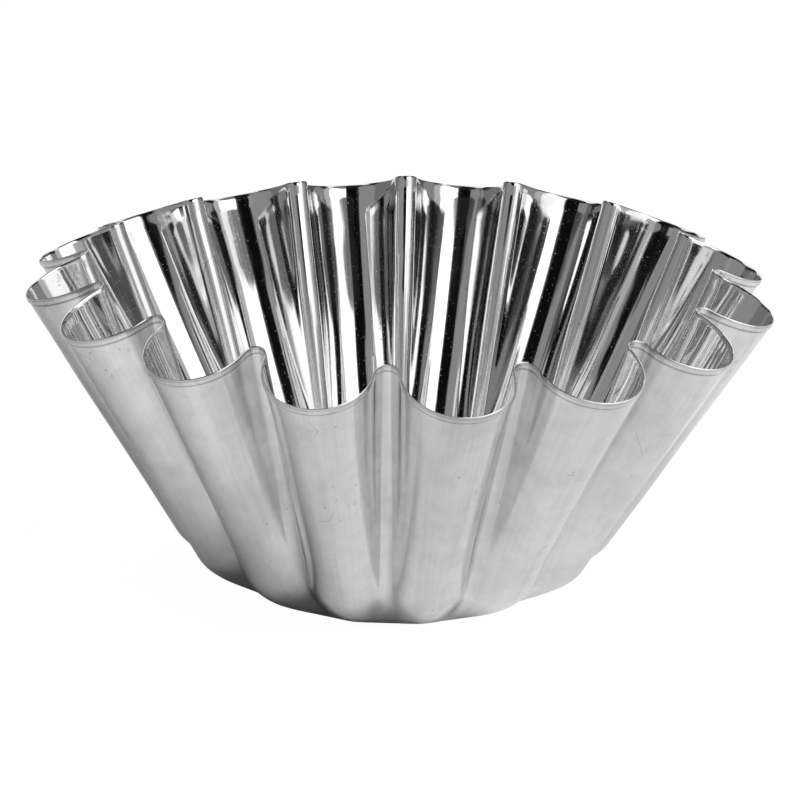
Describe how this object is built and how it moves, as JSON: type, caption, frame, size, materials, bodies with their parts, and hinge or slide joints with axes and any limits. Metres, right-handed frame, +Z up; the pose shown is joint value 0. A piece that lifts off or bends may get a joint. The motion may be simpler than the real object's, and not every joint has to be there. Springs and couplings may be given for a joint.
{
  "type": "babka mould",
  "caption": "Fluted round baking mould pressed from one thin bright steel sheet, flaring from a flat base to a wavy hemmed rim; for babka or brioche.",
  "frame": {"origin": "middle of the flat base's underside", "axes": "+Z up along the mould's axis towards its mouth; the middle of a flute lies on +X and on +Y"},
  "size_m": [0.2198, 0.2198, 0.0959],
  "materials": {
    "mould": "bright polished sheet with fine scratches and smudges"
  },
  "bodies": {
    "root": {"mould": "mould"}
  },
  "joints": []
}
